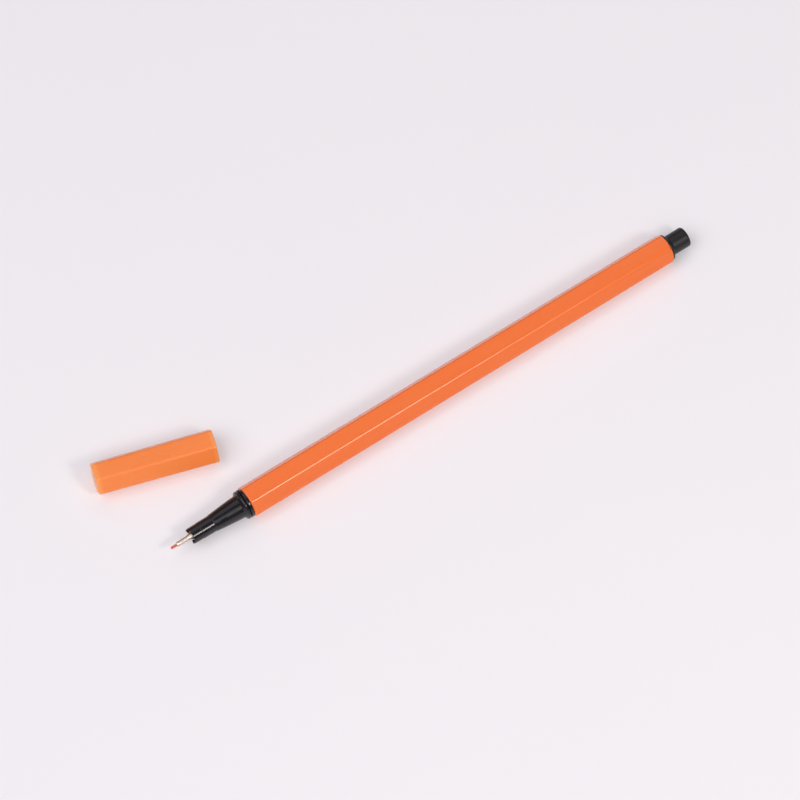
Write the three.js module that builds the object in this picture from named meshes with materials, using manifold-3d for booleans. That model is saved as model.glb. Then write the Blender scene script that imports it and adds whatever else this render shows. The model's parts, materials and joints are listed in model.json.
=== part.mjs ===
// Felt tip marker: a hexagonal fineliner with its push-on cap lying off beside the nose.
// Millimetres, +Z up. The pen lies on one of its flats along X, with its nib towards -X and
// its end plug towards +X. The origin is on the surface underneath, below the barrel's middle.

import * as THREE from 'three';
import { mergeVertices } from 'three/addons/utils/BufferGeometryUtils.js';
import Module from 'manifold-3d';

// Barrel: a moulded hexagonal tube, slimmer towards the end plug. Flats are across-flats widths.
const BARREL_LENGTH = 128.1;
const BARREL_FLATS_FRONT = 7.82;
const BARREL_FLATS_REAR = 7.36;
const BARREL_BORE = 2.85;
const BARREL_FRONT_BEVEL = 0.42;
const BARREL_REAR_CIRCLE = 3.53;
const BARREL_REAR_CONE = 0.9;
const EDGE_RADIUS = 0.8;

// Ribs inside the barrel, which centre the reservoir and let air past it.
const RIB_COUNT = 6;
const RIB_LENGTH = 92;
const RIB_HEIGHT = 0.28;
const RIB_WIDTH = 0.5;

// Section: the black front holder. Distances are measured forwards from the barrel's front face.
const SEAM = 0.06;
const SPIGOT_RADIUS = 2.75;
const SPIGOT_LENGTH = 12;
const COLLAR_RADIUS = 3.9;
const COLLAR_LENGTH = 0.8;
const GROOVE_RADIUS = 3.3;
const GROOVE_LENGTH = 0.14;
const BEAD_RADIUS = 3.86;
const BEAD_LENGTH = 0.9;
const CONE_OUTLINE = [[2.3, 3.04], [4.1, 2.92], [7.1, 2.65], [10.2, 2.33]];
const NOSE_START = 10.32;
const NOSE_RADIUS = 2.22;
const NOSE_STEP = 13.95;
const NOSE_FRONT_RADIUS = 2.14;
const NOSE_FRONT = 16.6;
const SECTION_BORE = 1.58;
const SECTION_REAR_BORE = 2.1;

// Crown: the prongs that stand forwards round the tip.
const PRONG_COUNT = 3;
const PRONG_LENGTH = 0.6;
const PRONG_WIDTH = 0.62;
const PRONG_TURN = 52;

// Tip: the pale holder inside the nose, the metal sleeve with its cone, and the nib inside it.
const HOLDER_FRONT = 15.9;
const HOLDER_REAR = 6.2;
const HOLDER_RADIUS = 1.5;
const HOLDER_BORE = 1.08;
const SLEEVE_FRONT = 20.9;
const SLEEVE_CONE_FRONT = 17.92;
const SLEEVE_CONE_REAR = 16.35;
const SLEEVE_FLANGE_REAR = 16.0;
const SLEEVE_REAR = 6.7;
const SLEEVE_FLANGE_RADIUS = 1.16;
const SLEEVE_BASE_RADIUS = 1.0;
const SLEEVE_TUBE_RADIUS = 0.675;
const SLEEVE_BORE = 0.42;
const SLEEVE_EDGE = 0.12;
const NIB_RADIUS = 0.34;
const NIB_FRONT = 22.55;
const NIB_ROUNDING = 0.2;

// Reservoir: an ink-soaked fibre rod in a film wrap. The nib's tail sits in a hole in its front.
const RESERVOIR_LENGTH = 96;
const RESERVOIR_RADIUS = 2.3;
const RESERVOIR_GAP = 1.5;
const NIB_HOLE_RADIUS = 0.42;
const NIB_HOLE_DEPTH = 9;
const WRAP_BORE = 2.36;
const WRAP_RADIUS = 2.46;

// End plug: closes the barrel's rear and carries the slimmer stub that stands out of it.
const PLUG_SPIGOT_LENGTH = 10;
const PLUG_FLANGE_RADIUS = 3.5;
const PLUG_FLANGE_RIM = 0.36;
const PLUG_STUB_RADIUS = 2.69;
const PLUG_STUB_LENGTH = 6.05;
const PLUG_BORE = 1.8;
const PLUG_END_WALL = 1.4;
const PLUG_END_ROUNDING = 0.6;

// Cap: a hexagonal shell with a round bore, widest at its mouth, and a soft liner inside it.
const CAP_LENGTH = 31.45;
const CAP_FLATS_CLOSED = 7.91;
const CAP_FLATS_MOUTH = 8.23;
const CAP_BORE_MOUTH = 3.45;
const CAP_BORE_DEEP = 3.15;
const CAP_LEAD_IN = 0.15;
const CAP_END_WALL = 1.2;
const CAP_CLOSED_BEVEL = 0.5;
const CAP_MOUTH_BEVEL = 0.22;
const LINER_START = 9;
const LINER_RADIUS = 2.8;
const LINER_BORE = 2.3;
const LINER_WALL = 1.0;
const LINER_FLANGE = 3.05;
const LINER_GAP = 0.3;

// Where the cap lies: the middle of its length, and the turn of its axis from the pen's.
const CAP_X = -77.11;
const CAP_Y = 22.11;
const CAP_TURN = -16.8;

const ROUND_SEGMENTS = 48;
const ARC_STEPS = 6;
const MERGE_DISTANCE = 1e-4;

const wasm = await Module();
wasm.setup();

// A mesh as a solid for joining and cutting: shared corners merged, collapsed triangles dropped.
function toSolid(geometry) {
  const bare = geometry.clone();
  bare.deleteAttribute('normal');
  bare.deleteAttribute('uv');
  const merged = mergeVertices(bare, MERGE_DISTANCE);
  const corners = merged.index.array;
  const triangles = [];
  for (let i = 0; i < corners.length; i += 3) {
    const [a, b, c] = corners.subarray(i, i + 3);
    if (a !== b && b !== c && c !== a) triangles.push(a, b, c);
  }
  return new wasm.Manifold(new wasm.Mesh({
    numProp: 3,
    vertProperties: new Float32Array(merged.attributes.position.array),
    triVerts: new Uint32Array(triangles),
  }));
}

function toGeometry(solid) {
  const { vertProperties, triVerts } = solid.getMesh();
  const geometry = new THREE.BufferGeometry();
  geometry.setAttribute('position', new THREE.BufferAttribute(vertProperties, 3));
  geometry.setIndex(new THREE.BufferAttribute(triVerts, 1));
  geometry.computeVertexNormals();
  return geometry;
}

// A solid turned about the X axis. The outline is a list of [x, radius], outer side towards +X.
function turned(outline) {
  const points = outline.map(([x, radius]) => new THREE.Vector2(radius, x));
  return new THREE.LatheGeometry(points, ROUND_SEGMENTS).rotateZ(-Math.PI / 2);
}

// A turned ring: the outline closes on itself.
function ring(outline) {
  return turned([...outline, outline[0]]);
}

// Points of an arc in the outline plane, angles in degrees from +X towards larger radius.
function arc(x, radius, bend, from, to) {
  const points = [];
  for (let i = 0; i <= ARC_STEPS; i += 1) {
    const angle = THREE.MathUtils.degToRad(from + ((to - from) * i) / ARC_STEPS);
    points.push([x + bend * Math.cos(angle), radius + bend * Math.sin(angle)]);
  }
  return points;
}

// A hexagonal bar along X with rounded long edges and a flat underneath, from one width across
// its flats to another, with a small bevel round each end.
function hexagonBar(length, flatsStart, flatsEnd, bevelStart, bevelEnd) {
  const apothem = flatsStart / 2;
  const cornerDistance = ((apothem - EDGE_RADIUS) * 2) / Math.sqrt(3);
  const outline = new THREE.Shape();
  for (let corner = 0; corner < 6; corner += 1) {
    const angle = Math.PI / 6 + (corner * Math.PI) / 3;
    const x = cornerDistance * Math.cos(angle);
    const y = cornerDistance * Math.sin(angle);
    outline.absarc(x, y, EDGE_RADIUS, angle - Math.PI / 6, angle + Math.PI / 6, false);
  }
  outline.closePath();
  const half = length / 2;
  const stations = [
    { x: -half, inset: bevelStart },
    { x: -half + bevelStart, inset: 0 },
    { x: half - bevelEnd, inset: 0 },
    { x: half, inset: bevelEnd },
  ];
  const bar = new THREE.ExtrudeGeometry(outline, {
    depth: 3, steps: 3, bevelEnabled: false, curveSegments: ARC_STEPS,
  });
  bar.rotateY(Math.PI / 2);
  const position = bar.attributes.position;
  for (let i = 0; i < position.count; i += 1) {
    const { x, inset } = stations[Math.round(position.getX(i))];
    const flats = THREE.MathUtils.lerp(flatsStart, flatsEnd, x / length + 0.5);
    const scale = (flats / 2 - inset) / apothem;
    position.setXYZ(i, x, position.getY(i) * scale, position.getZ(i) * scale);
  }
  return bar;
}

function barrel() {
  const half = BARREL_LENGTH / 2;
  const outside = BARREL_FLATS_FRONT;
  const envelope = ring([
    [-half, BARREL_BORE],
    [-half, outside],
    [half - BARREL_REAR_CONE, outside],
    [half - BARREL_REAR_CONE, BARREL_REAR_CIRCLE + BARREL_REAR_CONE],
    [half, BARREL_REAR_CIRCLE],
    [half, BARREL_BORE],
  ]);
  const bar = hexagonBar(
    BARREL_LENGTH, BARREL_FLATS_FRONT, BARREL_FLATS_REAR, BARREL_FRONT_BEVEL, 0,
  );
  let solid = toSolid(bar).intersect(toSolid(envelope));
  const ribDepth = RIB_HEIGHT * 2;
  for (let i = 0; i < RIB_COUNT; i += 1) {
    const rib = new THREE.BoxGeometry(RIB_LENGTH, RIB_WIDTH, ribDepth);
    rib.translate(0, 0, BARREL_BORE - RIB_HEIGHT + ribDepth / 2);
    rib.rotateX((i * 2 * Math.PI) / RIB_COUNT);
    solid = solid.add(toSolid(rib));
  }
  return toGeometry(solid);
}

// One prong of the crown: a short piece of the nose's wall that reaches forwards.
function prong(face, index) {
  const overlap = 0.3;
  const front = face - NOSE_FRONT - PRONG_LENGTH;
  const back = face - NOSE_FRONT + overlap;
  const wall = ring([
    [front, SECTION_BORE],
    [front, NOSE_FRONT_RADIUS - 0.15],
    [front + 0.2, NOSE_FRONT_RADIUS],
    [back, NOSE_FRONT_RADIUS],
    [back, SECTION_BORE],
  ]);
  const slice = new THREE.BoxGeometry(3, NOSE_RADIUS, PRONG_WIDTH);
  slice.translate(front, NOSE_RADIUS / 2 + 1, 0);
  slice.rotateX(THREE.MathUtils.degToRad(PRONG_TURN + (index * 360) / PRONG_COUNT));
  return toSolid(wall).intersect(toSolid(slice));
}

function section() {
  const face = -BARREL_LENGTH / 2;
  const collarBack = face - SEAM;
  const collarFront = face - COLLAR_LENGTH;
  const beadBack = collarFront - GROOVE_LENGTH;
  const beadBend = BEAD_LENGTH / 2;
  const beadMiddle = beadBack - beadBend;
  const body = ring([
    [face - NOSE_FRONT, SECTION_BORE],
    [face - NOSE_FRONT, NOSE_FRONT_RADIUS],
    [face - NOSE_STEP, NOSE_FRONT_RADIUS],
    [face - NOSE_STEP, NOSE_RADIUS],
    [face - NOSE_START, NOSE_RADIUS],
    ...CONE_OUTLINE.map(([ahead, radius]) => [face - ahead, radius]).reverse(),
    [beadMiddle - beadBend, CONE_OUTLINE[0][1]],
    ...arc(beadMiddle, BEAD_RADIUS - beadBend, beadBend, 180, 0),
    [beadBack, GROOVE_RADIUS],
    [collarFront, GROOVE_RADIUS],
    [collarFront, COLLAR_RADIUS],
    [collarBack, COLLAR_RADIUS],
    [collarBack, SPIGOT_RADIUS],
    [face + SPIGOT_LENGTH, SPIGOT_RADIUS],
    [face + SPIGOT_LENGTH, SECTION_REAR_BORE],
    [face - HOLDER_REAR + 1, SECTION_REAR_BORE],
    [face - HOLDER_REAR + 0.4, SECTION_BORE],
  ]);
  let solid = toSolid(body);
  for (let i = 0; i < PRONG_COUNT; i += 1) solid = solid.add(prong(face, i));
  return toGeometry(solid);
}

function tipHolder() {
  const face = -BARREL_LENGTH / 2;
  return ring([
    [face - HOLDER_FRONT, HOLDER_BORE],
    [face - HOLDER_FRONT, HOLDER_RADIUS - SLEEVE_EDGE],
    [face - HOLDER_FRONT + SLEEVE_EDGE, HOLDER_RADIUS],
    [face - HOLDER_REAR, HOLDER_RADIUS],
    [face - HOLDER_REAR, HOLDER_BORE],
  ]);
}

function tipSleeve() {
  const face = -BARREL_LENGTH / 2;
  return ring([
    [face - SLEEVE_FRONT, SLEEVE_BORE],
    [face - SLEEVE_FRONT, SLEEVE_TUBE_RADIUS - SLEEVE_EDGE],
    [face - SLEEVE_FRONT + SLEEVE_EDGE, SLEEVE_TUBE_RADIUS],
    [face - SLEEVE_CONE_FRONT, SLEEVE_TUBE_RADIUS],
    [face - SLEEVE_CONE_REAR, SLEEVE_FLANGE_RADIUS],
    [face - SLEEVE_FLANGE_REAR, SLEEVE_FLANGE_RADIUS],
    [face - SLEEVE_FLANGE_REAR, SLEEVE_BASE_RADIUS],
    [face - SLEEVE_REAR, SLEEVE_BASE_RADIUS],
    [face - SLEEVE_REAR, SLEEVE_BORE],
  ]);
}

function reservoirFront() {
  return -BARREL_LENGTH / 2 + SPIGOT_LENGTH + RESERVOIR_GAP;
}

function nib() {
  const front = -BARREL_LENGTH / 2 - NIB_FRONT;
  const tail = reservoirFront() + NIB_HOLE_DEPTH - 0.5;
  return turned([
    [front, 0],
    [front, NIB_RADIUS - NIB_ROUNDING],
    ...arc(front + NIB_ROUNDING, NIB_RADIUS - NIB_ROUNDING, NIB_ROUNDING, 150, 90),
    [tail, NIB_RADIUS],
    [tail, 0],
  ]);
}

function reservoir() {
  const front = reservoirFront();
  return turned([
    [front + NIB_HOLE_DEPTH, 0],
    [front + NIB_HOLE_DEPTH, NIB_HOLE_RADIUS],
    [front, NIB_HOLE_RADIUS],
    [front, RESERVOIR_RADIUS],
    [front + RESERVOIR_LENGTH, RESERVOIR_RADIUS],
    [front + RESERVOIR_LENGTH, 0],
  ]);
}

function reservoirWrap() {
  const front = reservoirFront();
  return ring([
    [front, WRAP_BORE],
    [front, WRAP_RADIUS],
    [front + RESERVOIR_LENGTH, WRAP_RADIUS],
    [front + RESERVOIR_LENGTH, WRAP_BORE],
  ]);
}

function endPlug() {
  const face = BARREL_LENGTH / 2;
  const end = face + PLUG_STUB_LENGTH;
  const sweep = PLUG_FLANGE_RADIUS - PLUG_STUB_RADIUS;
  const rimEnd = face + SEAM + PLUG_FLANGE_RIM;
  return turned([
    [end - PLUG_END_WALL, 0],
    [end - PLUG_END_WALL, PLUG_BORE],
    [face - PLUG_SPIGOT_LENGTH, PLUG_BORE],
    [face - PLUG_SPIGOT_LENGTH, SPIGOT_RADIUS],
    [face + SEAM, SPIGOT_RADIUS],
    [face + SEAM, PLUG_FLANGE_RADIUS],
    ...arc(rimEnd + sweep, PLUG_FLANGE_RADIUS, sweep, 180, 270),
    ...arc(end - PLUG_END_ROUNDING, PLUG_STUB_RADIUS - PLUG_END_ROUNDING, PLUG_END_ROUNDING, 90, 0),
    [end, 0],
  ]);
}

function capShell() {
  const half = CAP_LENGTH / 2;
  const core = turned([
    [-half + CAP_END_WALL, 0],
    [-half + CAP_END_WALL, CAP_BORE_DEEP],
    [half - LINER_START, CAP_BORE_MOUTH],
    [half - CAP_LEAD_IN, CAP_BORE_MOUTH],
    [half + CAP_LEAD_IN, CAP_BORE_MOUTH + CAP_LEAD_IN * 2],
    [half + CAP_LEAD_IN, 0],
  ]);
  const bar = hexagonBar(
    CAP_LENGTH, CAP_FLATS_CLOSED, CAP_FLATS_MOUTH, CAP_CLOSED_BEVEL, CAP_MOUTH_BEVEL,
  );
  return toGeometry(toSolid(bar).subtract(toSolid(core)));
}

function capLiner() {
  const half = CAP_LENGTH / 2;
  const bottom = -half + CAP_END_WALL + LINER_GAP;
  const flangeFront = bottom + LINER_WALL;
  const mouth = half - LINER_START - LINER_GAP;
  return turned([
    [bottom, 0],
    [bottom, LINER_FLANGE],
    [flangeFront, LINER_FLANGE],
    [flangeFront, LINER_RADIUS],
    [mouth, LINER_RADIUS],
    [mouth, LINER_BORE],
    [bottom + LINER_WALL, LINER_BORE],
    [bottom + LINER_WALL, 0],
  ]);
}

function piece(name, geometry, color, roughness, metalness = 0) {
  const material = new THREE.MeshStandardMaterial({ color, roughness, metalness });
  const mesh = new THREE.Mesh(geometry, material);
  mesh.name = name;
  return mesh;
}

// A drafted hexagonal body leans by half of its draft when it lies on a flat. This group holds
// the body's pieces about its own axis and lays its lower flat on the surface.
function layOnFlat(length, flatsStart, flatsEnd, pieces) {
  const lean = Math.atan((flatsStart - flatsEnd) / 2 / length);
  const body = new THREE.Group();
  body.position.z = ((flatsStart + flatsEnd) / 4) * Math.cos(lean);
  body.rotation.y = lean;
  body.add(...pieces);
  return body;
}

const pen = layOnFlat(BARREL_LENGTH, BARREL_FLATS_FRONT, BARREL_FLATS_REAR, [
  piece('barrel', barrel(), '#f26c2c', 0.35),
  piece('section', section(), '#17171a', 0.25),
  piece('tip_holder', tipHolder(), '#e9e2dc', 0.5),
  piece('tip_sleeve', tipSleeve(), '#cbb9a8', 0.25, 1),
  piece('nib', nib(), '#d96a52', 0.6),
  piece('reservoir', reservoir(), '#e2572e', 0.95),
  piece('reservoir_wrap', reservoirWrap(), '#e8e6e2', 0.3),
  piece('end_plug', endPlug(), '#1b1b1e', 0.3),
]);

const cap = new THREE.Group();
cap.position.set(CAP_X, CAP_Y, 0);
cap.rotation.z = THREE.MathUtils.degToRad(CAP_TURN);
cap.add(layOnFlat(CAP_LENGTH, CAP_FLATS_CLOSED, CAP_FLATS_MOUTH, [
  piece('cap_shell', capShell(), '#f5793a', 0.38),
  piece('cap_liner', capLiner(), '#efe9e0', 0.5),
]));

const marker = new THREE.Group();
marker.add(pen, cap);

export default marker;
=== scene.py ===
import json
from math import atan, cos, pi, radians, sin, tan

import bmesh
import bpy
from mathutils import Matrix, Vector


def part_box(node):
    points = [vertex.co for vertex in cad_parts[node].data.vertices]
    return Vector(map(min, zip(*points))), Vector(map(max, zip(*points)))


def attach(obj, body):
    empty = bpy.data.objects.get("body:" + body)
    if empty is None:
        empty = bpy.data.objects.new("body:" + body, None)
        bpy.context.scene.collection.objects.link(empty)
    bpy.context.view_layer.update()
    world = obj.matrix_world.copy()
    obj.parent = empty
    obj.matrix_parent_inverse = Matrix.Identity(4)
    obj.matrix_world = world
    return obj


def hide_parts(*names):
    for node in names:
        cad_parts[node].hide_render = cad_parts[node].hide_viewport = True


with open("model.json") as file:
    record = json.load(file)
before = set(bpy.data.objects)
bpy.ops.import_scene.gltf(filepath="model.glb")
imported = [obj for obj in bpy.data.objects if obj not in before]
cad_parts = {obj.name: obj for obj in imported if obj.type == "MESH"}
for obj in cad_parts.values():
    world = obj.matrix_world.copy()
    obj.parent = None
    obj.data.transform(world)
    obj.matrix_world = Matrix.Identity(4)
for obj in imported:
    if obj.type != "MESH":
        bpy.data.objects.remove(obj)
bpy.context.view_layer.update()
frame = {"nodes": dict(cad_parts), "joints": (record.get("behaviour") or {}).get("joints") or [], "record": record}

# ---------------------------------------------------------------------------------------------
# The table top and the studio. A long lens looks down on the pen from the side of its nib, as
# over a drawing table. Broad softboxes light it from the left, the near side and the far side,
# and a small one on the right runs its reflection along the pen's edges. The room is pale only
# low down, behind the table's edge, and dim above, so that the black pieces stay black.
# ---------------------------------------------------------------------------------------------

MM = 0.001

CAMERA_AZIMUTH = radians(34.04)
CAMERA_ELEVATION = radians(64.1)
CAMERA_DISTANCE = 1.5
CAMERA_TARGET = Vector((-15.35, 3.7, 0)) * MM
CAMERA_LENS = 267.3
CAMERA_SENSOR = 36.0
CAMERA_REACH = 20.0

ROOM_WHITE = "#FBF6FB"
ROOM_AT_HORIZON = 0.85
ROOM_OVERHEAD = 0.17
BACKDROP_TOP = (0.06, 0.14)
TABLE_SIZE = 4.0
TABLE_WHITE = "#D9D7DB"
TABLE_CLOUD = "#DBDADD"
TABLE_GLOW_COLOUR = "#FBF9FD"
TABLE_GLOW = 0.2


def hex_colour(code):
    """A colour written as sRGB hex, turned to the linear values that shaders and lights use."""
    channels = [int(code[i:i + 2], 16) / 255 for i in (1, 3, 5)]
    linear = [c / 12.92 if c <= 0.04045 else ((c + 0.055) / 1.055) ** 2.4 for c in channels]
    return (*linear, 1.0)


def add_node(tree, kind, values=None, links=None, **settings):
    """Adds a shader node, sets its properties and input values, and links other nodes to it."""
    node = tree.nodes.new(kind)
    for name, value in settings.items():
        setattr(node, name, value)
    for name, value in (values or {}).items():
        node.inputs[name].default_value = value
    for name, (source, output) in (links or {}).items():
        tree.links.new(source.outputs[output], node.inputs[name])
    return node


def new_material(name, **surface):
    """A material with a Principled surface; constants go straight on the shader's sockets."""
    material = bpy.data.materials.new(name)
    material.use_nodes = True
    tree = material.node_tree
    tree.nodes.clear()
    shader = add_node(tree, "ShaderNodeBsdfPrincipled", surface)
    add_node(tree, "ShaderNodeOutputMaterial", links={"Surface": (shader, "BSDF")})
    return material, tree, shader


def table_surface():
    """A milky acrylic sheet, faintly lit from below, which keeps the shadows on it soft."""
    material, tree, shader = new_material("milky acrylic sheet", Roughness=0.55, IOR=1.49)
    shader.inputs["Emission Color"].default_value = hex_colour(TABLE_GLOW_COLOUR)
    shader.inputs["Emission Strength"].default_value = TABLE_GLOW
    place = add_node(tree, "ShaderNodeTexCoord")
    cloud = add_node(tree, "ShaderNodeTexNoise", {"Scale": 9.0, "Detail": 3.0},
                     {"Vector": (place, "Object")})
    tone = add_node(tree, "ShaderNodeMix",
                    {"A": hex_colour(TABLE_WHITE), "B": hex_colour(TABLE_CLOUD)},
                    {"Factor": (cloud, "Fac")}, data_type="RGBA")
    tree.links.new(tone.outputs["Result"], shader.inputs["Base Color"])
    return material


def look_at(item, eye, target):
    """Puts a camera or light at a place and turns it towards another."""
    item.location = eye
    item.rotation_mode = "QUATERNION"
    item.rotation_quaternion = (target - eye).to_track_quat("-Z", "Y")


bpy.ops.object.select_all(action="DESELECT")
bpy.ops.mesh.primitive_plane_add(size=TABLE_SIZE, location=(0, 0, 0))
table_top = bpy.context.object
table_top.name = "table_top"
table_top.data.materials.append(table_surface())

view_forwards = Vector((
    sin(CAMERA_AZIMUTH) * cos(CAMERA_ELEVATION),
    cos(CAMERA_AZIMUTH) * cos(CAMERA_ELEVATION),
    -sin(CAMERA_ELEVATION),
))
view_right = Vector((cos(CAMERA_AZIMUTH), -sin(CAMERA_AZIMUTH), 0))
view_away = Vector((sin(CAMERA_AZIMUTH), cos(CAMERA_AZIMUTH), 0))

camera = bpy.data.objects.new("camera", bpy.data.cameras.new("camera"))
bpy.context.scene.collection.objects.link(camera)
camera.data.sensor_width = CAMERA_SENSOR
camera.data.lens = CAMERA_LENS
camera.data.clip_end = CAMERA_REACH
look_at(camera, CAMERA_TARGET - view_forwards * CAMERA_DISTANCE, CAMERA_TARGET)
bpy.context.scene.camera = camera

room = bpy.data.worlds.new("white room")
room.use_nodes = True
room_tree = room.node_tree
room_tree.nodes.clear()
towards_sky = add_node(room_tree, "ShaderNodeTexCoord")
sky_axes = add_node(room_tree, "ShaderNodeSeparateXYZ", links={"Vector": (towards_sky, "Generated")})
room_level = add_node(room_tree, "ShaderNodeMapRange",
                      {"From Min": BACKDROP_TOP[0], "From Max": BACKDROP_TOP[1],
                       "To Min": ROOM_AT_HORIZON, "To Max": ROOM_OVERHEAD},
                      {"Value": (sky_axes, "Z")})
room_light = add_node(room_tree, "ShaderNodeBackground", {"Color": hex_colour(ROOM_WHITE)},
                      {"Strength": (room_level, "Result")})
add_node(room_tree, "ShaderNodeOutputWorld", links={"Surface": (room_light, "Background")})
bpy.context.scene.world = room
bpy.context.scene.view_settings.view_transform = "Standard"

# Each softbox: name, direction from the nose (right, away, up), distance, width, power, colour.
SOFTBOXES = [
    ("left softbox", (-0.484, -0.280, 0.829), 2.4, 1.94, 29.4, "#FFFCFF"),
    ("near softbox", (0, -0.559, 0.829), 2.4, 1.94, 14.0, "#FFFCFF"),
    ("far softbox", (0, 0.559, 0.829), 2.4, 1.94, 7.6, "#FFFCFF"),
    ("edge softbox", (0.567, -0.401, 0.719), 0.9, 0.2, 2.2, "#FFF9F2"),
]
lit_place = Vector((-75, 0, 4)) * MM
for name, (to_right, to_away, up), distance, width, power, colour in SOFTBOXES:
    light = bpy.data.objects.new(name, bpy.data.lights.new(name, "AREA"))
    bpy.context.scene.collection.objects.link(light)
    light.data.size = width
    light.data.energy = power
    light.data.color = hex_colour(colour)[:3]
    towards = (view_right * to_right + view_away * to_away + Vector((0, 0, up))).normalized()
    look_at(light, lit_place + towards * distance, lit_place)

# ---------------------------------------------------------------------------------------------
# Barrel: one hexagonal tube, injection moulded in orange polypropylene. The mould's draft makes
# it slimmer towards the plug. Its long edges are rounded, its front edge has a small bevel, and
# its rear corners are turned down to the round face of the plug.
# ---------------------------------------------------------------------------------------------

BARREL_LENGTH = 128.1 * MM
BARREL_FLATS_FRONT = 7.82 * MM
BARREL_FLATS_REAR = 7.36 * MM
BARREL_BORE = 2.85 * MM
BARREL_REAR_CIRCLE = 3.53 * MM
BARREL_REAR_CONE = 0.9 * MM
BARREL_FRONT_BEVEL = 0.42 * MM
LONG_EDGE_RADIUS = 0.8 * MM
FLOW_LENGTH = 16 * MM
FLOW_WIDTH = 3 * MM
TURNED_STEPS = 96
SMOOTH_BELOW = radians(34)
LARGEST_FACES_ONLY = 100
SAME_FACE_AREA = 1e-10


def resting_place(mount, turn, length, flats_start, flats_end):
    """Where the middle of a drafted hexagonal body is, and how it leans, when it lies on a flat."""
    lean = atan((flats_start - flats_end) / 2 / length)
    height = (flats_start + flats_end) / 4 * cos(lean)
    foot = next(m["pos_m"] for m in frame["record"]["mounts"] if m["name"] == mount)
    place = Matrix.Translation(Vector(foot) + Vector((0, 0, height)))
    return place @ Matrix.Rotation(turn, 4, "Z") @ Matrix.Rotation(lean, 4, "Y")


def start_piece(name, kind, **size):
    """Adds a primitive with nothing else selected, and leaves it open in edit mode."""
    if bpy.context.object and bpy.context.object.mode != "OBJECT":
        bpy.ops.object.mode_set(mode="OBJECT")
    bpy.ops.object.select_all(action="DESELECT")
    getattr(bpy.ops.mesh, f"primitive_{kind}_add")(**size)
    piece = bpy.context.object
    piece.name = name
    piece.data.name = name
    bpy.ops.object.mode_set(mode="EDIT")
    return piece


def select(piece, part, test):
    """Selects the vertices, edges or faces whose middle passes a test, and nothing else."""
    mode = {"verts": "VERT", "edges": "EDGE", "faces": "FACE"}[part]
    bpy.ops.mesh.select_mode(type=mode)
    bpy.ops.mesh.select_all(action="DESELECT")
    mesh = bmesh.from_edit_mesh(piece.data)
    for element in getattr(mesh, part):
        corners = [element] if part == "verts" else element.verts
        middle = sum((v.co for v in corners), Vector()) / len(corners)
        element.select_set(bool(test(middle, element)))
    mesh.select_flush_mode()
    bmesh.update_edit_mesh(piece.data)


def turn(name, outline, steps=TURNED_STEPS):
    """Draws half a section as a chain of points (x, radius) and spins it round the X axis."""
    piece = start_piece(name, "plane", size=MM)
    bpy.ops.mesh.select_mode(type="VERT")
    bpy.ops.mesh.merge(type="CENTER")
    points = [Vector((x, 0, radius)) for x, radius in outline]
    bpy.ops.transform.translate(value=points[0])
    for here, after in zip(points, points[1:]):
        bpy.ops.mesh.extrude_vertices_move(TRANSFORM_OT_translate={"value": after - here})
    bpy.ops.mesh.select_all(action="SELECT")
    bpy.ops.mesh.spin(steps=steps, angle=2 * pi, center=(0, 0, 0), axis=(1, 0, 0))
    bpy.ops.mesh.select_all(action="SELECT")
    bpy.ops.mesh.remove_doubles(threshold=0.001 * MM)
    bpy.ops.mesh.normals_make_consistent(inside=False)
    bpy.ops.object.mode_set(mode="OBJECT")
    return piece


def arc(x, radius, bend, start, end, steps=6):
    """Points of a rounding in a turned outline, in degrees from +X towards a larger radius."""
    angles = [radians(start + (end - start) * i / steps) for i in range(steps + 1)]
    return [(x + bend * cos(a), radius + bend * sin(a)) for a in angles]


def apply_modifier(piece, kind, **settings):
    bpy.ops.object.select_all(action="DESELECT")
    piece.select_set(True)
    bpy.context.view_layer.objects.active = piece
    modifier = piece.modifiers.new(kind.lower(), kind)
    for name, value in settings.items():
        setattr(modifier, name, value)
    bpy.ops.object.modifier_apply(modifier=modifier.name)


def cut(piece, tool, operation):
    """Joins or cuts a piece with a tool body, which is then thrown away."""
    apply_modifier(piece, "BOOLEAN", object=tool, operation=operation, solver="EXACT")
    bpy.data.objects.remove(tool)


def round_edges(piece, width, steps=3, angle=35):
    """Rounds every edge that is sharper than an angle, as moulding and polishing do."""
    apply_modifier(piece, "BEVEL", width=width, segments=steps, limit_method="ANGLE",
                   angle_limit=radians(angle), use_clamp_overlap=True)


def hexagon_bar(name, length, flats_start, flats_end):
    """A hexagonal bar along X, a flat underneath, drafted and with rounded long edges."""
    corner = flats_start / 3 ** 0.5
    bar = start_piece(name, "cylinder", vertices=6, radius=corner, depth=length,
                      rotation=(0, pi / 2, 0))
    bpy.ops.object.mode_set(mode="OBJECT")
    bpy.ops.object.transform_apply(location=True, rotation=True, scale=True)
    bpy.ops.object.mode_set(mode="EDIT")
    select(bar, "edges", lambda middle, edge: abs(middle.x) < length / 4)
    bpy.ops.mesh.bevel(offset=LONG_EDGE_RADIUS * tan(pi / 6), segments=8, affect="EDGES")
    select(bar, "verts", lambda middle, vertex: middle.x > 0)
    draft = flats_end / flats_start
    bpy.ops.transform.resize(value=(1, draft, draft), center_override=(length / 2, 0, 0))
    return bar


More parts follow.
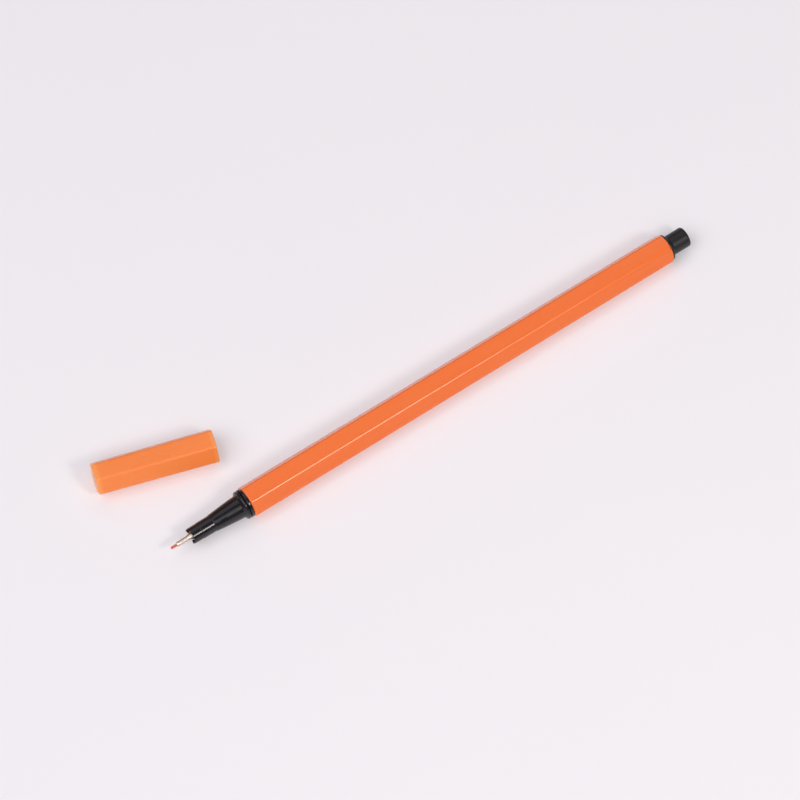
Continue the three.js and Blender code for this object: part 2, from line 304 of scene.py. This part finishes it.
def finish_piece(piece, place, body, nodes, material):
    """Lays a piece in its place, shades it, gives it its material, hangs it on its body and hides the CAD nodes it
    stands in for.

    At each vertex the largest faces set the shading, so that flat faces look flat beside their
    rounded edges. Areas that differ by less than SAME_FACE_AREA, in square metres, count as equal.
    """
    bpy.ops.object.select_all(action="DESELECT")
    piece.select_set(True)
    bpy.context.view_layer.objects.active = piece
    piece.matrix_world = place
    bpy.ops.object.transform_apply(location=True, rotation=True, scale=True)
    bpy.ops.object.shade_smooth_by_angle(angle=SMOOTH_BELOW)
    apply_modifier(piece, "WEIGHTED_NORMAL", keep_sharp=True, weight=LARGEST_FACES_ONLY,
                   thresh=SAME_FACE_AREA)
    piece.data.materials.clear()
    piece.data.materials.append(material)
    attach(piece, body)
    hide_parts(*nodes)


def moulded_plastic(name, lie, main, streak, roughness, softness, light_reach):
    """Moulded plastic: long flow streaks, fine satin grain, and light that goes in a little way.

    The streaks run along the piece as it lies and shift the colour a little. The grain is about
    0.3 mm, coarser than the mould's own texture, so that it can show.
    """
    material, tree, shader = new_material(name, IOR=1.49)
    shader.inputs["Subsurface Weight"].default_value = softness
    shader.inputs["Subsurface Radius"].default_value = light_reach
    shader.inputs["Subsurface Scale"].default_value = 1.0
    place = add_node(tree, "ShaderNodeTexCoord")
    stretch = add_node(tree, "ShaderNodeMapping",
                       {"Location": lie.translation, "Rotation": lie.to_euler(),
                        "Scale": (FLOW_LENGTH, FLOW_WIDTH, FLOW_WIDTH)},
                       {"Vector": (place, "Object")}, vector_type="TEXTURE")
    flow = add_node(tree, "ShaderNodeTexNoise", {"Scale": 1.0, "Detail": 1.5, "Roughness": 0.5},
                    {"Vector": (stretch, "Vector")})
    flow_share = add_node(tree, "ShaderNodeMapRange",
                          {"From Min": 0.2, "From Max": 0.8, "To Min": 0.0, "To Max": 1.0},
                          {"Value": (flow, "Fac")})
    tone = add_node(tree, "ShaderNodeMix", {"A": hex_colour(main), "B": hex_colour(streak)},
                    {"Factor": (flow_share, "Result")}, data_type="RGBA")
    tree.links.new(tone.outputs["Result"], shader.inputs["Base Color"])
    satin = add_node(tree, "ShaderNodeMapRange",
                     {"From Min": 0.3, "From Max": 0.7, "To Min": roughness - 0.04,
                      "To Max": roughness + 0.05}, {"Value": (flow, "Fac")})
    tree.links.new(satin.outputs["Result"], shader.inputs["Roughness"])
    grain = add_node(tree, "ShaderNodeTexNoise", {"Scale": 3300.0, "Detail": 2.0},
                     {"Vector": (place, "Object")})
    relief = add_node(tree, "ShaderNodeBump", {"Strength": 0.12, "Distance": 0.02 * MM},
                      {"Height": (grain, "Fac")})
    tree.links.new(relief.outputs["Normal"], shader.inputs["Normal"])
    return material, tree, shader


pen_place = resting_place("barrel_rest", 0, BARREL_LENGTH, BARREL_FLATS_FRONT, BARREL_FLATS_REAR)
half_barrel = BARREL_LENGTH / 2
orange_plastic = moulded_plastic("moulded orange polypropylene", pen_place, "#F8742C", "#F87932",
                                 0.21, 0.15, (1.0 * MM, 0.4 * MM, 0.2 * MM))[0]

barrel = hexagon_bar("barrel_shell", BARREL_LENGTH, BARREL_FLATS_FRONT, BARREL_FLATS_REAR)
select(barrel, "edges", lambda middle, edge:
       all(v.co.x < -half_barrel + 0.01 * MM for v in edge.verts))
bpy.ops.mesh.bevel(offset=BARREL_FRONT_BEVEL, segments=4, affect="EDGES")
bpy.ops.object.mode_set(mode="OBJECT")
outside = BARREL_FLATS_FRONT
rear_cone = BARREL_REAR_CIRCLE + BARREL_REAR_CONE
barrel_envelope = turn("barrel_envelope", [
    (-half_barrel - MM, BARREL_BORE),
    (-half_barrel - MM, outside),
    (half_barrel - BARREL_REAR_CONE, outside),
    (half_barrel - BARREL_REAR_CONE, rear_cone),
    (half_barrel, BARREL_REAR_CIRCLE),
    (half_barrel, BARREL_BORE),
    (-half_barrel - MM, BARREL_BORE),
])
cut(barrel, barrel_envelope, "INTERSECT")
finish_piece(barrel, pen_place, "pen", ["barrel"], orange_plastic)

# ---------------------------------------------------------------------------------------------
# Section: the black holder pressed into the barrel's front, moulded in glossy polypropylene. A
# collar stops it on the barrel, a round bead stops the cap, and a cone leads to the nose, which
# ends in a crown of three short prongs round the tip.
# ---------------------------------------------------------------------------------------------

SEAM = 0.06 * MM
SPIGOT_RADIUS = 2.75 * MM
SPIGOT_LENGTH = 12 * MM
COLLAR_RADIUS = 3.9 * MM
COLLAR_LENGTH = 0.8 * MM
GROOVE_RADIUS = 3.3 * MM
GROOVE_LENGTH = 0.14 * MM
BEAD_RADIUS = 3.86 * MM
BEAD_LENGTH = 0.9 * MM
CONE_OUTLINE = [(2.3, 3.04), (4.1, 2.92), (7.1, 2.65), (10.2, 2.33)]
NOSE_START = 10.32 * MM
NOSE_RADIUS = 2.22 * MM
NOSE_STEP = 13.95 * MM
NOSE_FRONT_RADIUS = 2.14 * MM
NOSE_FRONT = 16.6 * MM
SECTION_BORE = 1.58 * MM
SECTION_REAR_BORE = 2.1 * MM
HOLDER_REAR = 6.2 * MM
EDGE_RING = 0.1 * MM
SECTION_EDGES = 0.035 * MM
PRONG_LENGTH = 0.6 * MM
PRONG_HALF_ANGLE = radians(9.5)
PRONG_ANGLES = [radians(52 + 120 * i) for i in range(3)]

# The two points at EDGE_RING keep the shading of the nose's rounded edges off the straight part
# between them.
section_face = -half_barrel
bead_back = section_face - COLLAR_LENGTH - GROOVE_LENGTH
bead_bend = BEAD_LENGTH / 2
section = turn("front_section", [
    (section_face - NOSE_FRONT, SECTION_BORE),
    (section_face - NOSE_FRONT, NOSE_FRONT_RADIUS),
    (section_face - NOSE_FRONT + EDGE_RING, NOSE_FRONT_RADIUS),
    (section_face - NOSE_STEP - EDGE_RING, NOSE_FRONT_RADIUS),
    (section_face - NOSE_STEP, NOSE_FRONT_RADIUS),
    (section_face - NOSE_STEP, NOSE_RADIUS),
    (section_face - NOSE_START, NOSE_RADIUS),
    *[(section_face - ahead * MM, radius * MM) for ahead, radius in reversed(CONE_OUTLINE)],
    *arc(bead_back - bead_bend, BEAD_RADIUS - bead_bend, bead_bend, 180, 0, 10),
    (bead_back, GROOVE_RADIUS),
    (section_face - COLLAR_LENGTH, GROOVE_RADIUS),
    (section_face - COLLAR_LENGTH, COLLAR_RADIUS),
    (section_face - SEAM, COLLAR_RADIUS),
    (section_face - SEAM, SPIGOT_RADIUS),
    (section_face + SPIGOT_LENGTH, SPIGOT_RADIUS),
    (section_face + SPIGOT_LENGTH, SECTION_REAR_BORE),
    (section_face - HOLDER_REAR + 1 * MM, SECTION_REAR_BORE),
    (section_face - HOLDER_REAR + 0.4 * MM, SECTION_BORE),
    (section_face - NOSE_FRONT, SECTION_BORE),
])
bpy.ops.object.mode_set(mode="EDIT")


def in_a_prong(middle, face):
    """True on the nose's front ring, within the width of one of the prongs."""
    if middle.x > section_face - NOSE_FRONT + 0.01 * MM:
        return False
    around = Vector((middle.y, middle.z))
    for angle in PRONG_ANGLES:
        if around.angle(Vector((cos(angle), sin(angle)))) < PRONG_HALF_ANGLE:
            return True
    return False


select(section, "faces", in_a_prong)
bpy.ops.mesh.extrude_region_move(TRANSFORM_OT_translate={"value": (-PRONG_LENGTH, 0, 0)})
bpy.ops.object.mode_set(mode="OBJECT")
round_edges(section, SECTION_EDGES)


def black_plastic(name, main, dust, roughness):
    """Black moulded polypropylene: carbon black, polished mould, faint handling marks."""
    material, tree, shader = new_material(name, IOR=1.5)
    place = add_node(tree, "ShaderNodeTexCoord")
    marks = add_node(tree, "ShaderNodeTexNoise", {"Scale": 420.0, "Detail": 5.0, "Roughness": 0.6},
                     {"Vector": (place, "Object")})
    tone = add_node(tree, "ShaderNodeMix", {"A": hex_colour(main), "B": hex_colour(dust)},
                    {"Factor": (marks, "Fac")}, data_type="RGBA")
    tree.links.new(tone.outputs["Result"], shader.inputs["Base Color"])
    polish = add_node(tree, "ShaderNodeMapRange",
                      {"From Min": 0.35, "From Max": 0.7, "To Min": roughness - 0.05,
                       "To Max": roughness + 0.08}, {"Value": (marks, "Fac")})
    tree.links.new(polish.outputs["Result"], shader.inputs["Roughness"])
    relief = add_node(tree, "ShaderNodeBump", {"Strength": 0.06, "Distance": 0.02 * MM},
                      {"Height": (marks, "Fac")})
    tree.links.new(relief.outputs["Normal"], shader.inputs["Normal"])
    return material


glossy_black = black_plastic("glossy black polypropylene", "#0F0D12", "#19161C", 0.18)
finish_piece(section, pen_place, "pen", ["section"], glossy_black)

# ---------------------------------------------------------------------------------------------
# Tip holder and sleeve: a pale bush of natural polypropylene inside the nose grips a stainless
# steel sleeve, drawn to a cone and a thin tube, that carries the nib.
# ---------------------------------------------------------------------------------------------

HOLDER_FRONT = 15.9 * MM
HOLDER_RADIUS = 1.5 * MM
HOLDER_BORE = 1.08 * MM
SLEEVE_FRONT = 20.9 * MM
SLEEVE_CONE_FRONT = 17.92 * MM
SLEEVE_CONE_REAR = 16.35 * MM
SLEEVE_FLANGE_REAR = 16.0 * MM
SLEEVE_REAR = 6.7 * MM
SLEEVE_FLANGE_RADIUS = 1.16 * MM
SLEEVE_BASE_RADIUS = 1.0 * MM
SLEEVE_TUBE_RADIUS = 0.675 * MM
SLEEVE_BORE = 0.42 * MM

holder = turn("tip_bush", [
    (section_face - HOLDER_FRONT, HOLDER_BORE),
    (section_face - HOLDER_FRONT, HOLDER_RADIUS),
    (section_face - HOLDER_REAR, HOLDER_RADIUS),
    (section_face - HOLDER_REAR, HOLDER_BORE),
    (section_face - HOLDER_FRONT, HOLDER_BORE),
])
round_edges(holder, 0.1 * MM)
pale_plastic = moulded_plastic("natural polypropylene", pen_place, "#ECE6E0", "#F2EEE9",
                               0.45, 0.3, (1.0 * MM, 0.8 * MM, 0.6 * MM))[0]
finish_piece(holder, pen_place, "pen", ["tip_holder"], pale_plastic)

sleeve_lip = 0.16 * MM
sleeve = turn("steel_sleeve", [
    (section_face - SLEEVE_FRONT, SLEEVE_BORE),
    (section_face - SLEEVE_FRONT, SLEEVE_TUBE_RADIUS - sleeve_lip),
    (section_face - SLEEVE_FRONT + 2 * sleeve_lip, SLEEVE_TUBE_RADIUS),
    (section_face - SLEEVE_CONE_FRONT, SLEEVE_TUBE_RADIUS),
    (section_face - SLEEVE_CONE_REAR, SLEEVE_FLANGE_RADIUS),
    (section_face - SLEEVE_FLANGE_REAR, SLEEVE_FLANGE_RADIUS),
    (section_face - SLEEVE_FLANGE_REAR, SLEEVE_BASE_RADIUS),
    (section_face - SLEEVE_REAR, SLEEVE_BASE_RADIUS),
    (section_face - SLEEVE_REAR, SLEEVE_BORE),
    (section_face - SLEEVE_FRONT, SLEEVE_BORE),
], 64)
round_edges(sleeve, 0.05 * MM, angle=25)


def drawn_steel():
    """Drawn stainless steel: bright, with fine lines along the tube from the die."""
    material, tree, shader = new_material("drawn stainless steel", Metallic=1.0)
    place = add_node(tree, "ShaderNodeTexCoord")
    along = add_node(tree, "ShaderNodeMapping", {"Scale": (30.0, 12000.0, 12000.0)},
                     {"Vector": (place, "Object")})
    lines = add_node(tree, "ShaderNodeTexNoise", {"Scale": 1.0, "Detail": 3.0},
                     {"Vector": (along, "Vector")})
    tone = add_node(tree, "ShaderNodeMix", {"A": hex_colour("#DCCFC0"), "B": hex_colour("#EBE1D6")},
                    {"Factor": (lines, "Fac")}, data_type="RGBA")
    tree.links.new(tone.outputs["Result"], shader.inputs["Base Color"])
    polish = add_node(tree, "ShaderNodeMapRange",
                      {"From Min": 0.3, "From Max": 0.7, "To Min": 0.28, "To Max": 0.38},
                      {"Value": (lines, "Fac")})
    tree.links.new(polish.outputs["Result"], shader.inputs["Roughness"])
    relief = add_node(tree, "ShaderNodeBump", {"Strength": 0.04, "Distance": 0.005 * MM},
                      {"Height": (lines, "Fac")})
    tree.links.new(relief.outputs["Normal"], shader.inputs["Normal"])
    return material


finish_piece(sleeve, pen_place, "pen", ["tip_sleeve"], drawn_steel())

# ---------------------------------------------------------------------------------------------
# Nib: a thin rod of acetal with ink channels, ground to a rounded point and stained by its ink.
# It runs back through the sleeve into the reservoir.
# ---------------------------------------------------------------------------------------------

NIB_RADIUS = 0.34 * MM
NIB_FRONT = 22.55 * MM
NIB_ROUNDING = 0.26 * MM

nib_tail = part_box("nib")[1].x
nib_tip = section_face - NIB_FRONT
nib = turn("nib_rod", [
    (nib_tip, 0),
    *arc(nib_tip + NIB_ROUNDING, NIB_RADIUS - NIB_ROUNDING, NIB_ROUNDING, 180, 90, 8),
    (nib_tail, NIB_RADIUS),
    (nib_tail, 0),
], 48)


def stained_fibre():
    """Ink-stained acetal: matt, with lines of the ink channels."""
    material, tree, shader = new_material("ink-stained acetal", IOR=1.48)
    place = add_node(tree, "ShaderNodeTexCoord")
    along = add_node(tree, "ShaderNodeMapping", {"Scale": (300.0, 5200.0, 5200.0)},
                     {"Vector": (place, "Object")})
    channels = add_node(tree, "ShaderNodeTexNoise", {"Scale": 1.0, "Detail": 3.0},
                        {"Vector": (along, "Vector")})
    tone = add_node(tree, "ShaderNodeMix", {"A": hex_colour("#CF5440"), "B": hex_colour("#E07058")},
                    {"Factor": (channels, "Fac")}, data_type="RGBA")
    tree.links.new(tone.outputs["Result"], shader.inputs["Base Color"])
    matt = add_node(tree, "ShaderNodeMapRange",
                    {"From Min": 0.3, "From Max": 0.7, "To Min": 0.5, "To Max": 0.7},
                    {"Value": (channels, "Fac")})
    tree.links.new(matt.outputs["Result"], shader.inputs["Roughness"])
    return material


finish_piece(nib, pen_place, "pen", ["nib"], stained_fibre())

# ---------------------------------------------------------------------------------------------
# Reservoir and wrap: a rod of bonded polyester fibre, soaked with orange ink, in a clear film.
# Both are hidden in the barrel and keep the frame's own shapes.
# ---------------------------------------------------------------------------------------------


def soaked_fibre():
    """Bonded polyester fibre, wet with ink: matt strands that run along the rod."""
    material, tree, shader = new_material("ink-soaked polyester fibre", IOR=1.45)
    place = add_node(tree, "ShaderNodeTexCoord")
    along = add_node(tree, "ShaderNodeMapping", {"Scale": (90.0, 4000.0, 4000.0)},
                     {"Vector": (place, "Object")})
    strands = add_node(tree, "ShaderNodeTexNoise", {"Scale": 1.0, "Detail": 4.0},
                       {"Vector": (along, "Vector")})
    tone = add_node(tree, "ShaderNodeMix", {"A": hex_colour("#C8401B"), "B": hex_colour("#E86A3A")},
                    {"Factor": (strands, "Fac")}, data_type="RGBA")
    tree.links.new(tone.outputs["Result"], shader.inputs["Base Color"])
    damp = add_node(tree, "ShaderNodeMapRange", {"To Min": 0.6, "To Max": 0.9},
                    {"Value": (strands, "Fac")})
    tree.links.new(damp.outputs["Result"], shader.inputs["Roughness"])
    return material


def wrap_film():
    """Thin polypropylene film: milky over the wet fibre, with a faint crinkle."""
    material, tree, shader = new_material("polypropylene film", IOR=1.49)
    place = add_node(tree, "ShaderNodeTexCoord")
    crinkle = add_node(tree, "ShaderNodeTexNoise", {"Scale": 700.0, "Detail": 3.0},
                       {"Vector": (place, "Object")})
    tone = add_node(tree, "ShaderNodeMix", {"A": hex_colour("#E4DED8"), "B": hex_colour("#F2DCD0")},
                    {"Factor": (crinkle, "Fac")}, data_type="RGBA")
    tree.links.new(tone.outputs["Result"], shader.inputs["Base Color"])
    gloss = add_node(tree, "ShaderNodeMapRange", {"To Min": 0.15, "To Max": 0.35},
                     {"Value": (crinkle, "Fac")})
    tree.links.new(gloss.outputs["Result"], shader.inputs["Roughness"])
    return material


for node_name, material in (("reservoir", soaked_fibre()), ("reservoir_wrap", wrap_film())):
    mesh = frame["nodes"][node_name].data
    mesh.materials.clear()
    mesh.materials.append(material)

# ---------------------------------------------------------------------------------------------
# End plug: a black moulded cup pressed into the barrel's rear. Its flange sweeps down to a
# straight stub, whose flat end has the small sunk mark where the plastic was fed in.
# ---------------------------------------------------------------------------------------------

PLUG_SPIGOT_LENGTH = 10 * MM
PLUG_FLANGE_RADIUS = 3.5 * MM
PLUG_FLANGE_RIM = 0.36 * MM
PLUG_STUB_RADIUS = 2.69 * MM
PLUG_STUB_LENGTH = 6.05 * MM
PLUG_BORE = 1.8 * MM
PLUG_END_WALL = 1.4 * MM
PLUG_END_ROUNDING = 0.6 * MM
GATE_RADIUS = 0.55 * MM
GATE_DEPTH = 0.12 * MM

plug_face = half_barrel
plug_end = plug_face + PLUG_STUB_LENGTH
plug_sweep = PLUG_FLANGE_RADIUS - PLUG_STUB_RADIUS
plug = turn("rear_plug", [
    (plug_end - PLUG_END_WALL, 0),
    (plug_end - PLUG_END_WALL, PLUG_BORE),
    (plug_face - PLUG_SPIGOT_LENGTH, PLUG_BORE),
    (plug_face - PLUG_SPIGOT_LENGTH, SPIGOT_RADIUS),
    (plug_face + SEAM, SPIGOT_RADIUS),
    (plug_face + SEAM, PLUG_FLANGE_RADIUS),
    *arc(plug_face + SEAM + PLUG_FLANGE_RIM + plug_sweep, PLUG_FLANGE_RADIUS, plug_sweep,
         180, 270, 10),
    *arc(plug_end - PLUG_END_ROUNDING, PLUG_STUB_RADIUS - PLUG_END_ROUNDING, PLUG_END_ROUNDING,
         90, 0, 8),
    (plug_end, GATE_RADIUS),
    (plug_end - GATE_DEPTH, GATE_RADIUS * 0.8),
    (plug_end - GATE_DEPTH, 0),
])
round_edges(plug, 0.05 * MM)
satin_black = black_plastic("satin black polypropylene", "#0B0A0D", "#131215", 0.42)
finish_piece(plug, pen_place, "pen", ["end_plug"], satin_black)

# ---------------------------------------------------------------------------------------------
# Cap: a hexagonal shell of the same orange polypropylene, thinner and paler than the barrel, so
# that light comes through its wall. It is widest at the mouth, and lies on one flat. A soft,
# milky polyethylene cup pressed to its bottom seals round the nose when the cap is on.
# ---------------------------------------------------------------------------------------------

CAP_LENGTH = 31.45 * MM
CAP_FLATS_CLOSED = 7.91 * MM
CAP_FLATS_MOUTH = 8.23 * MM
CAP_CLOSED_BEVEL = 0.66 * MM
CAP_MOUTH_BEVEL = 0.22 * MM
CAP_BORE_MOUTH = 3.45 * MM
CAP_BORE_DEEP = 3.15 * MM
CAP_LEAD_IN = 0.15 * MM
CAP_END_WALL = 1.2 * MM
LINER_START = 9 * MM
LINER_RADIUS = 2.8 * MM
LINER_BORE = 2.3 * MM
LINER_WALL = 1.0 * MM
LINER_FLANGE = 3.05 * MM
LINER_GAP = 0.3 * MM

pull_off = Vector(frame["joints"][0]["axis"])
cap_turn = atan(pull_off.y / pull_off.x)
cap_place = resting_place("cap_rest", cap_turn, CAP_LENGTH, CAP_FLATS_CLOSED, CAP_FLATS_MOUTH)
half_cap = CAP_LENGTH / 2

cap = hexagon_bar("cap_body", CAP_LENGTH, CAP_FLATS_CLOSED, CAP_FLATS_MOUTH)
for end, offset, steps in ((-1, CAP_CLOSED_BEVEL, 6), (1, CAP_MOUTH_BEVEL, 4)):
    select(cap, "edges", lambda middle, edge:
           all(v.co.x * end > half_cap - 0.01 * MM for v in edge.verts))
    bpy.ops.mesh.bevel(offset=offset, segments=steps, affect="EDGES")
bpy.ops.object.mode_set(mode="OBJECT")
cap_core = turn("cap_core", [
    (half_cap + MM, 0),
    (half_cap + MM, CAP_BORE_MOUTH + CAP_LEAD_IN + MM),
    (half_cap - CAP_LEAD_IN, CAP_BORE_MOUTH),
    (half_cap - LINER_START, CAP_BORE_MOUTH),
    (-half_cap + CAP_END_WALL, CAP_BORE_DEEP),
    (-half_cap + CAP_END_WALL, 0),
])
cut(cap, cap_core, "DIFFERENCE")
cap_plastic, cap_tree, cap_shader = moulded_plastic("thin orange polypropylene", cap_place,
                                                    "#FF883E", "#FF8D45", 0.3, 0.25,
                                                    (1.6 * MM, 0.7 * MM, 0.3 * MM))


def painted_glow_at_the_ends(tree, shader):
    """Painted glow: light leaves the cap through its end wall and its thin lip, so the base colour is painted
    paler there.
    """
    place = add_node(tree, "ShaderNodeTexCoord")
    centred = add_node(tree, "ShaderNodeMapping",
                       {"Location": cap_place.translation, "Rotation": cap_place.to_euler()},
                       {"Vector": (place, "Object")}, vector_type="TEXTURE")
    axes = add_node(tree, "ShaderNodeSeparateXYZ", links={"Vector": (centred, "Vector")})
    closed_end = add_node(tree, "ShaderNodeMapRange",
                          {"From Min": -half_cap + 1.6 * MM, "From Max": -half_cap + 0.6 * MM,
                           "To Max": 0.8}, {"Value": (axes, "X")})
    lip = add_node(tree, "ShaderNodeMapRange",
                   {"From Min": half_cap - 1.2 * MM, "From Max": half_cap - 0.7 * MM,
                    "To Max": 0.6}, {"Value": (axes, "X")})
    both = add_node(tree, "ShaderNodeMath", {}, operation="MAXIMUM")
    tree.links.new(closed_end.outputs["Result"], both.inputs[0])
    tree.links.new(lip.outputs["Result"], both.inputs[1])
    tone = shader.inputs["Base Color"].links[0].from_node
    # Painted glow: a paler orange, #FFA258, is mixed into the base colour towards both ends of the cap.
    paler = add_node(tree, "ShaderNodeMix", {"B": hex_colour("#FFA258")},
                     {"Factor": (both, "Value"), "A": (tone, "Result")}, data_type="RGBA")
    tree.links.new(paler.outputs["Result"], shader.inputs["Base Color"])


painted_glow_at_the_ends(cap_tree, cap_shader)
finish_piece(cap, cap_place, "cap", ["cap_shell"], cap_plastic)

liner_bottom = -half_cap + CAP_END_WALL + LINER_GAP
liner_mouth = half_cap - LINER_START - LINER_GAP
liner = turn("cap_seal", [
    (liner_bottom, 0),
    (liner_bottom, LINER_FLANGE),
    (liner_bottom + LINER_WALL, LINER_FLANGE),
    (liner_bottom + LINER_WALL, LINER_RADIUS),
    (liner_mouth, LINER_RADIUS),
    (liner_mouth, LINER_BORE),
    (liner_bottom + LINER_WALL, LINER_BORE),
    (liner_bottom + LINER_WALL, 0),
])
round_edges(liner, 0.12 * MM)
milky_plastic = moulded_plastic("natural polyethylene", cap_place, "#EEE6DC", "#F3EEE8",
                                0.5, 0.35, (1.2 * MM, 0.9 * MM, 0.7 * MM))[0]
finish_piece(liner, cap_place, "cap", ["cap_liner"], milky_plastic)
